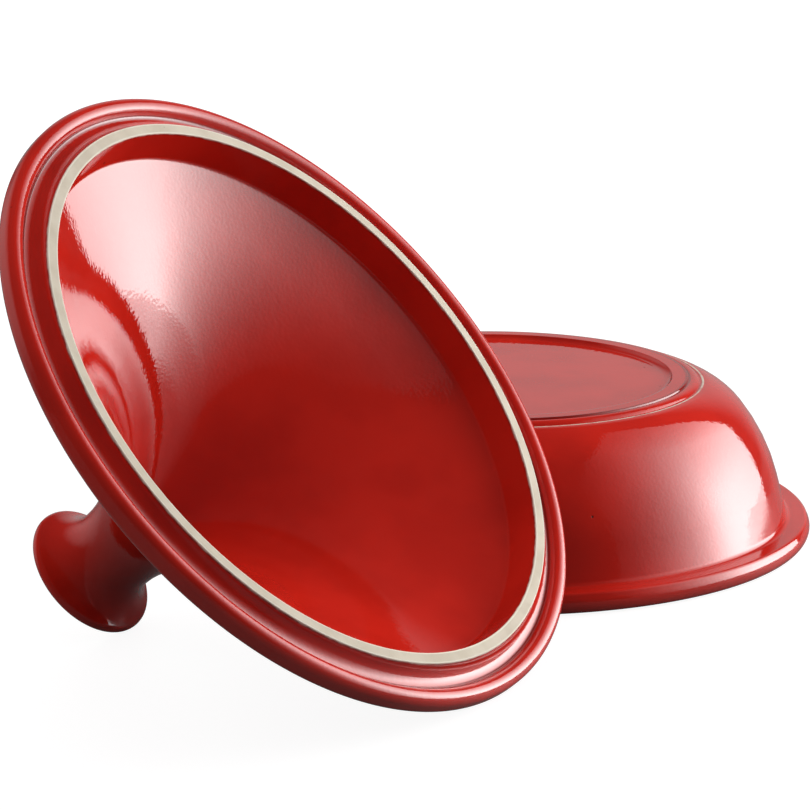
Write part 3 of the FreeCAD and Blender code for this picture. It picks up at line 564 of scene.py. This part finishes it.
def glaze_relief(tree, spot, speck):
    """The height of the glaze in metres."""
    ripples = []
    for size_mm, height_mm in ((RIPPLE_MM, RIPPLE_HEIGHT_MM), (FINE_RIPPLE_MM, FINE_RIPPLE_HEIGHT_MM)):
        lumps = add(tree, "ShaderNodeTexNoise", {
            "Vector": spot, "Scale": 1 / (size_mm * MM), "Detail": 0.0})[0]
        ripples.append(add(tree, "ShaderNodeMath", {0: lumps, 1: height_mm * MM}, operation="MULTIPLY")[0])
    height = add(tree, "ShaderNodeMath", {0: ripples[0], 1: ripples[1]}, operation="ADD")[0]
    pit = add(tree, "ShaderNodeMath", {0: speck, 1: -PIT_DEPTH_MM * MM}, operation="MULTIPLY")[0]
    return add(tree, "ShaderNodeMath", {0: height, 1: pit}, operation="ADD")[0]


# %% Where the seat ring was wiped clean
WANDER_PATCH_MM, WANDER_EDGES, WANDER_MM = 6.0, (0.2, 0.8), 0.05
WIPED_BELOW_MM, GLAZED_ABOVE_MM = 1.2, 1.6
WIPE_EDGE_MM = 0.1
# The dark line beside the bare ring is partly the glaze's thick edge and partly painted shade
DARK_LINE_MM, DARK_LINE_DEPTH = 0.6, 0.5


def wiped_ring(tree, spot, section, ring):
    """How far a spot is from the ring's middle, the ring's half width, how much of the spot is wiped, and
    how
    much of it is painted with a dark line: partly the thick edge of the glaze, partly painted shade."""
    middle, half = sum(ring) / 2 * MM, (ring[1] - ring[0]) / 2 * MM
    parts = add(tree, "ShaderNodeSeparateXYZ", {0: section})
    off = add(tree, "ShaderNodeMath", {0: parts[0], 1: middle}, operation="SUBTRACT")[0]
    off = add(tree, "ShaderNodeMath", {0: off}, operation="ABSOLUTE")[0]
    wander = patches(tree, spot, WANDER_PATCH_MM, WANDER_EDGES, -WANDER_MM * MM, WANDER_MM * MM)
    off = add(tree, "ShaderNodeMath", {0: off, 1: wander}, operation="ADD")[0]
    low_down = add(tree, "ShaderNodeMapRange", {
        "Value": parts[1], "From Min": GLAZED_ABOVE_MM * MM, "From Max": WIPED_BELOW_MM * MM},
        interpolation_type="SMOOTHSTEP")[0]
    masks = []
    wipe, dark_line_and_shade = (WIPE_EDGE_MM, -WIPE_EDGE_MM, 1.0), (DARK_LINE_MM, WIPE_EDGE_MM, DARK_LINE_DEPTH)
    for start_mm, end_mm, depth in (wipe, dark_line_and_shade):
        edge = add(tree, "ShaderNodeMapRange", {
            "Value": off, "From Min": half + start_mm * MM, "From Max": half + end_mm * MM,
            "To Max": depth}, interpolation_type="SMOOTHSTEP")[0]
        masks.append(add(tree, "ShaderNodeMath", {0: edge, 1: low_down}, operation="MULTIPLY")[0])
    return off, half, *masks


# %% Bare clay: beige patches, a fine grain and a cream edge that is partly a painted highlight
# Grit in the clay is half a millimetre and finer. The grain is drawn at the coarsest of that, because a
# finer one would not show in the render.
CLAY_PATCH_MM, CLAY_PATCH_EDGES, CLAY_DETAIL = 14.0, (0.35, 0.7), 3.0
GRAIN_MM, GRAIN_HEIGHT_MM, GRAIN_EDGES, GRAIN_SHADE = 0.5, 0.12, (0.55, 0.75), 0.5
CREAM_FROM_MM, CREAM_TO_MM, CREAM_DEPTH = 1.0, 0.5, 0.8


def bare_clay(tree, spot, off, half, speck):
    """The colour of the clay, and its height in metres."""
    grain = add(tree, "ShaderNodeTexNoise", {
        "Vector": spot, "Scale": 1 / (GRAIN_MM * MM), "Detail": CLAY_DETAIL})[0]
    mottled = patches(tree, spot, CLAY_PATCH_MM, CLAY_PATCH_EDGES, detail=CLAY_DETAIL)
    shade = add(tree, "ShaderNodeMapRange", {
        "Value": grain, "From Min": GRAIN_EDGES[0], "From Max": GRAIN_EDGES[1], "To Max": GRAIN_SHADE},
        interpolation_type="SMOOTHSTEP")[0]
    # Cream along the ring's edges: partly a thin film of glaze, partly a painted highlight
    cream = add(tree, "ShaderNodeMapRange", {
        "Value": off, "From Min": half - CREAM_FROM_MM * MM, "From Max": half - CREAM_TO_MM * MM,
        "To Max": CREAM_DEPTH}, interpolation_type="SMOOTHSTEP")[0]
    clay = coats(tree, CLAY, (mottled, CLAY_SHADED), (shade, CLAY_SHADED), (cream, CREAM_AND_HIGHLIGHT),
                 (speck, IRON_SPECK))
    return clay, add(tree, "ShaderNodeMath", {0: grain, 1: GRAIN_HEIGHT_MM * MM}, operation="MULTIPLY")[0]


# %% The finish of either piece
GLAZE_IOR = 1.57
SHEEN_PATCH_MM, SHEEN_EDGES = 12.0, (0.3, 0.7)
GLAZE_ROUGHNESS, CLAY_ROUGHNESS = (0.02, 0.06), 0.85


def stoneware(material, place, pooled_and_shaded, broken=(), bare_ring=None):
    """Red glaze over beige clay, on a piece that was laid by place. bare_ring is the inner and outer
    radius in mm of a ring that was wiped clean."""
    material.use_nodes = True
    tree = material.node_tree
    tree.nodes.clear()
    spot, section = own_frame(tree, place)
    speck = iron_specks(tree, spot)
    colour = coats(tree, glaze_tone(tree, spot, section, pooled_and_shaded, broken), (speck, IRON_SPECK))
    roughness = patches(tree, spot, SHEEN_PATCH_MM, SHEEN_EDGES, *GLAZE_ROUGHNESS)
    height = glaze_relief(tree, spot, speck)
    if bare_ring:
        off, half, wiped, dark_line_and_shade = wiped_ring(tree, spot, section, bare_ring)
        clay, clay_height = bare_clay(tree, spot, off, half, speck)
        # Over the glaze go a dark line beside the bare ring, partly painted shade, and then the bare clay
        colour = coats(tree, colour, (dark_line_and_shade, GLAZE_POOLED_AND_SHADED), (wiped, clay))
        roughness = add(tree, "ShaderNodeMix", {0: wiped, 2: roughness, 3: CLAY_ROUGHNESS})[0]
        height = add(tree, "ShaderNodeMix", {0: wiped, 2: height, 3: clay_height})[0]
    bump = add(tree, "ShaderNodeBump", {"Height": height, "Strength": 1.0, "Distance": 1.0})[0]
    shader = add(tree, "ShaderNodeBsdfPrincipled", {
        "Base Color": colour, "Roughness": roughness, "IOR": GLAZE_IOR, "Normal": bump})[0]
    add(tree, "ShaderNodeOutputMaterial", {"Surface": shader})
    print(material.name, len(tree.nodes), "nodes")


# %% [markdown]
# ## Turning and placing the pieces
# Each piece is turned upright and then laid in its place, with the place kept in the mesh. Its glaze is
# mixed last, because the Mapping node needs that place. The construction solids could be shown instead, but
# they have flat facets, and a glossy glaze would show every one of them, so the turned meshes stand in.

# %% Laying a piece where its construction solid is


def lay(name, node, points, turn, glaze):
    """Turns one piece and lays it where its construction solid is. Gives the matrix of its place."""
    mesh = turn_piece(name, points, glaze)
    place = place_of(mesh, turn, node)
    mesh.transform(place)
    piece = bpy.data.objects.new(name, mesh)
    bpy.context.scene.collection.objects.link(piece)
    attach(piece, "root")
    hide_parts(node)
    print(name, len(mesh.polygons), "faces")
    return place


# %% The lid, with pooled glaze and painted shade in its channel, and a bare seat ring
CHANNEL_POOL_AND_SHADE_MM = 1.6

lid_glaze = bpy.data.materials.new("red_glazed_stoneware_lid")
lid_place = lay("glazed_lid", "lid", lid.points, lid_turn, lid_glaze)
stoneware(lid_glaze, lid_place, pooled_and_shaded=[(lid.lip_root, CHANNEL_POOL_AND_SHADE_MM)],
          bare_ring=(lid.seat_inner, lid.seat_outer))

# %% The dish, with pooled glaze and painted shade by its foot and under its flange, and glaze worn off the ledge
FOOT_POOL_AND_SHADE_MM, FLANGE_POOL_AND_SHADE_MM, LEDGE_BREAK_MM = 2.0, 1.5, 0.75

dish_glaze = bpy.data.materials.new("red_glazed_stoneware_dish")
dish_place = lay("glazed_dish", "dish", dish.points, dish_turn, dish_glaze)
stoneware(dish_glaze, dish_place,
          pooled_and_shaded=[((dish.foot, FOOT_RISE), FOOT_POOL_AND_SHADE_MM), (dish.notch, FLANGE_POOL_AND_SHADE_MM)],
          broken=[(dish.ledge, LEDGE_BREAK_MM)])

# %% [markdown]
# ## Floor and backdrop
# The ware stands on a pale board in satin paint, which gives a soft sheen and no sharp image of the ware.
# White paint would throw much light up under the rims, so the board's own colour is a middle grey, and for
# the camera's rays, and for rays through glass, it glows by itself up to white. The light that falls on it
# is added to that, so the ware still casts a soft shadow. Rays that a glaze mirrors see only a small share
# of the glow, because the room is dark away from its window, and a deep red needs that. The board is matt
# round the ware and smooth further off, where the inside of the cone mirrors the window's light in it.

# %% Which rays see the white surroundings
MIRRORED_SHARE = 0.05


def seen_white(tree):
    """1 for what the camera sees, straight or through glass, and a small share for what a glaze mirrors."""
    ray = add(tree, "ShaderNodeLightPath")
    straight = add(tree, "ShaderNodeMath", {
        0: ray["Is Camera Ray"], 1: ray["Is Transmission Ray"]}, operation="MAXIMUM")[0]
    mirrored = add(tree, "ShaderNodeMath", {
        0: ray["Is Glossy Ray"], 1: MIRRORED_SHARE}, operation="MULTIPLY")[0]
    return add(tree, "ShaderNodeMath", {0: straight, 1: mirrored}, operation="MAXIMUM")[0]


# %% The board's finish: matt and a little dimmer round the ware, smooth and white further off
BOARD_GREY, WHITE = linear("#646464"), (1, 1, 1, 1)
GLOW_NEAR, GLOW_FAR, GLOW_START, GLOW_END = 0.92, 1.0, 0.45, 1.1
MATT_BOARD, SMOOTH_BOARD, SMOOTH_START, SMOOTH_END = 0.55, 0.12, 0.3, 0.55

board = bpy.data.materials.new("pale_satin_board")
board.use_nodes = True
board_tree = board.node_tree
board_tree.nodes.clear()
from_ware = add(board_tree, "ShaderNodeVectorMath", {
    0: add(board_tree, "ShaderNodeTexCoord")["Object"]}, operation="LENGTH")["Value"]
glow = add(board_tree, "ShaderNodeMapRange", {
    "Value": from_ware, "From Min": GLOW_START, "From Max": GLOW_END, "To Min": GLOW_NEAR,
    "To Max": GLOW_FAR}, interpolation_type="SMOOTHSTEP")[0]
board_roughness = add(board_tree, "ShaderNodeMapRange", {
    "Value": from_ware, "From Min": SMOOTH_START, "From Max": SMOOTH_END, "To Min": MATT_BOARD,
    "To Max": SMOOTH_BOARD}, interpolation_type="SMOOTHSTEP")[0]
seen_glow = add(board_tree, "ShaderNodeMath", {0: glow, 1: seen_white(board_tree)}, operation="MULTIPLY")[0]
satin = add(board_tree, "ShaderNodeBsdfPrincipled", {
    "Base Color": BOARD_GREY, "Roughness": board_roughness, "Emission Color": WHITE,
    "Emission Strength": seen_glow})[0]
add(board_tree, "ShaderNodeOutputMaterial", {"Surface": satin})
print("board:", len(board_tree.nodes), "nodes")

# %% The floor
FLOOR_HALF = 6.0

floor_mesh = bpy.data.meshes.new("floor")
floor_mesh.from_pydata([(-FLOOR_HALF, -FLOOR_HALF, 0), (FLOOR_HALF, -FLOOR_HALF, 0),
                        (FLOOR_HALF, FLOOR_HALF, 0), (-FLOOR_HALF, FLOOR_HALF, 0)], [], [(0, 1, 2, 3)])
floor_mesh.materials.append(board)
floor = bpy.data.objects.new("floor", floor_mesh)
bpy.context.scene.collection.objects.link(floor)
print("floor", 2 * FLOOR_HALF, "m across")

# %% [markdown]
# ## Daylight from one side
# A glossy glaze is mostly what it mirrors, so the light is shaped with care. One wide soft panel stands low
# on the right, a little behind the ware, like a window with a thin blind. It is brightest low down, about a
# third of the way from its far side, and fades upwards and to both sides. It ends in a clean edge on the
# far side and at the table.
#
# The rest of the light could be more lamps, but each would leave its own reflection in the glaze. So it
# comes from the room itself. Two weak patches of it, straight behind and behind on the left, are mirrored
# and keep the far side of the ware from going black. Two broad fills, one from above and behind and one
# from the front left, are there for diffuse rays only: they lift the red of the glaze and are never
# mirrored in it.

# %% Directions round the ware


def toward(azimuth, elevation):
    """The direction to a place in the room, in degrees: azimuth 0 is straight behind, 90 on the right."""
    across, up = math.radians(azimuth), math.radians(elevation)
    return Vector((math.sin(across) * math.cos(up), math.cos(across) * math.cos(up), math.sin(up)))


# %% The room and its mirrored patches of light
# A patch has a name, an azimuth, an elevation, the angle round it in which it is full, the angle at which
# it has faded away, and a strength.
ROOM_LEVEL = 0.04
PATCHES = [("behind", 5, 10, 6, 32, 0.4), ("behind_left", -60, 16, 8, 40, 0.5)]

world = bpy.data.worlds.new("studio")
bpy.context.scene.world = world
world.use_nodes = True
room_tree = world.node_tree
room_tree.nodes.clear()
looking = add(room_tree, "ShaderNodeTexCoord")["Generated"]


def nearness(name, azimuth, elevation):
    """The cosine of the angle between where a ray goes and a direction in the room."""
    return add(room_tree, "ShaderNodeVectorMath", {
        0: looking, 1: toward(azimuth, elevation)}, operation="DOT_PRODUCT", label=name)["Value"]


level = ROOM_LEVEL
for name, azimuth, elevation, full, gone, strength in PATCHES:
    patch = add(room_tree, "ShaderNodeMapRange", {
        "Value": nearness(name, azimuth, elevation), "From Min": math.cos(math.radians(gone)),
        "From Max": math.cos(math.radians(full)), "To Max": strength}, interpolation_type="SMOOTHSTEP")[0]
    level = add(room_tree, "ShaderNodeMath", {0: patch, 1: level}, operation="ADD")[0]
print("room with", len(PATCHES), "patches of light")

# %% The fills, for diffuse rays only
# A fill has a name, an azimuth, an elevation and a strength. The higher the focus, the narrower it is.
FILLS = [("above_behind", -20, 55, 1.5), ("front_left", -110, 25, 0.7)]
FILL_FOCUS = 2.0

diffuse = add(room_tree, "ShaderNodeLightPath")["Is Diffuse Ray"]
for name, azimuth, elevation, strength in FILLS:
    fill = nearness(name, azimuth, elevation)
    shaping = [("MAXIMUM", 0.0), ("POWER", FILL_FOCUS), ("MULTIPLY", strength), ("MULTIPLY", diffuse)]
    for operation, value in shaping:
        fill = add(room_tree, "ShaderNodeMath", {0: fill, 1: value}, operation=operation)[0]
    level = add(room_tree, "ShaderNodeMath", {0: level, 1: fill}, operation="ADD")[0]
level = add(room_tree, "ShaderNodeMath", {0: level, 1: seen_white(room_tree)}, operation="MAXIMUM")[0]
room = add(room_tree, "ShaderNodeBackground", {"Color": WHITE, "Strength": level})[0]
add(room_tree, "ShaderNodeOutputWorld", {"Surface": room})
print("room tree:", len(room_tree.nodes), "nodes")

# %% The panel
# Distances on the panel are counted from its brightest spot, in shares of its distance from the ware.
PANEL_FAR, PANEL_AZIMUTH, PANEL_ELEVATION = 1.6, 77.0, 9.0
REACH_BEHIND, REACH_FRONT, REACH_DOWN, REACH_UP = 0.625, 1.35, 0.165, 1.4

outward = toward(PANEL_AZIMUTH, PANEL_ELEVATION)
facing = (-outward).to_track_quat("-Z", "Y").to_matrix()
# Seen from the ware, the panel's own X runs towards the back of the room and its Y runs up
backward, upward = facing.col[0], facing.col[1]
hot_spot = outward * PANEL_FAR
to_middle = (REACH_BEHIND - REACH_FRONT) * backward + (REACH_UP - REACH_DOWN) * upward
lamp = bpy.data.lights.new("soft_panel", "AREA")
lamp.shape = "RECTANGLE"
lamp.size = (REACH_BEHIND + REACH_FRONT) * PANEL_FAR
lamp.size_y = (REACH_DOWN + REACH_UP) * PANEL_FAR
# Energy in step with the area keeps the panel as bright when one of its reaches changes
lamp.energy = math.pi * lamp.size * lamp.size_y
panel = bpy.data.objects.new("soft_panel", lamp)
panel.matrix_world = Matrix.Translation(hot_spot + to_middle * PANEL_FAR / 2) @ facing.to_4x4()
panel.visible_camera = False
bpy.context.scene.collection.objects.link(panel)
lowest = (hot_spot - upward * REACH_DOWN * PANEL_FAR).z
print("panel", round(lamp.size, 2), "by", round(lamp.size_y, 2), "m, lowest edge at", round(lowest, 3), "m")

# %% The panel fades upwards and to both sides
# A fade of 2 means that the light falls off twice by the factor e over one PANEL_FAR. FADE_ROUND takes the
# point off the peak.
PANEL_PEAK = 10.8
FADE_BEHIND, FADE_FRONT, FADE_UP, FADE_ROUND = 2.2, 3.9, 3.0, 0.45

lamp.use_nodes = True
lamp_tree = lamp.node_tree
lamp_tree.nodes.clear()
place_on_panel = add(lamp_tree, "ShaderNodeNewGeometry")["Parametric"]
on_panel = add(lamp_tree, "ShaderNodeSeparateXYZ", {0: place_on_panel})
across = add(lamp_tree, "ShaderNodeMapRange", {
    "Value": on_panel[0], "To Min": -REACH_FRONT, "To Max": REACH_BEHIND})[0]
up = add(lamp_tree, "ShaderNodeMapRange", {
    "Value": on_panel[1], "To Min": -REACH_DOWN, "To Max": REACH_UP})[0]
towards_back, towards_front, upwards = [
    add(lamp_tree, "ShaderNodeMath", {0: distance, 1: fade}, operation="MULTIPLY")[0]
    for distance, fade in ((across, FADE_BEHIND), (across, -FADE_FRONT), (up, FADE_UP))]
sideways = add(lamp_tree, "ShaderNodeMath", {0: towards_back, 1: towards_front}, operation="MAXIMUM")[0]
raised = add(lamp_tree, "ShaderNodeMath", {0: upwards, 1: 0.0}, operation="MAXIMUM")[0]
steps = add(lamp_tree, "ShaderNodeCombineXYZ", {0: sideways, 1: raised, 2: FADE_ROUND})[0]
far = add(lamp_tree, "ShaderNodeVectorMath", {0: steps}, operation="LENGTH")["Value"]
fall = add(lamp_tree, "ShaderNodeMath", {0: FADE_ROUND, 1: far}, operation="SUBTRACT")[0]
share = add(lamp_tree, "ShaderNodeMath", {0: fall}, operation="EXPONENT")[0]
shine = add(lamp_tree, "ShaderNodeMath", {0: share, 1: PANEL_PEAK}, operation="MULTIPLY")[0]
shining = add(lamp_tree, "ShaderNodeEmission", {"Strength": shine})[0]
add(lamp_tree, "ShaderNodeOutputLight", {"Surface": shining})
print("panel tree:", len(lamp_tree.nodes), "nodes")

# %% [markdown]
# ## The viewer's place
# A long lens, 1.8 m away and a little above the ware, looks down by about 14 degrees. Its turn is built
# from three directions, forward, right and up, because they are easier to check than three angles.

# %% Camera
EYE = Vector((-0.020778, -1.708868, 0.503403))
PITCH, YAW, ROLL = math.radians(13.6069), math.radians(-0.13791), math.radians(0.17269)
LENS_MM, SENSOR_MM = 164.37, 36.0

lens = bpy.data.cameras.new("viewer")
lens.lens, lens.sensor_width = LENS_MM, SENSOR_MM
viewer = bpy.data.objects.new("viewer", lens)
bpy.context.scene.collection.objects.link(viewer)
forward = Vector((-math.sin(YAW) * math.cos(PITCH), math.cos(YAW) * math.cos(PITCH), -math.sin(PITCH)))
level_right = Vector((math.cos(YAW), math.sin(YAW), 0))
level_up = level_right.cross(forward)
right = math.cos(ROLL) * level_right + math.sin(ROLL) * level_up
top = math.cos(ROLL) * level_up - math.sin(ROLL) * level_right
viewer.matrix_world = Matrix.Translation(EYE) @ Matrix((right, top, -forward)).transposed().to_4x4()
bpy.context.scene.camera = viewer
bpy.context.scene.view_settings.view_transform = "Standard"
print("camera", round(EYE.length, 2), "m away")
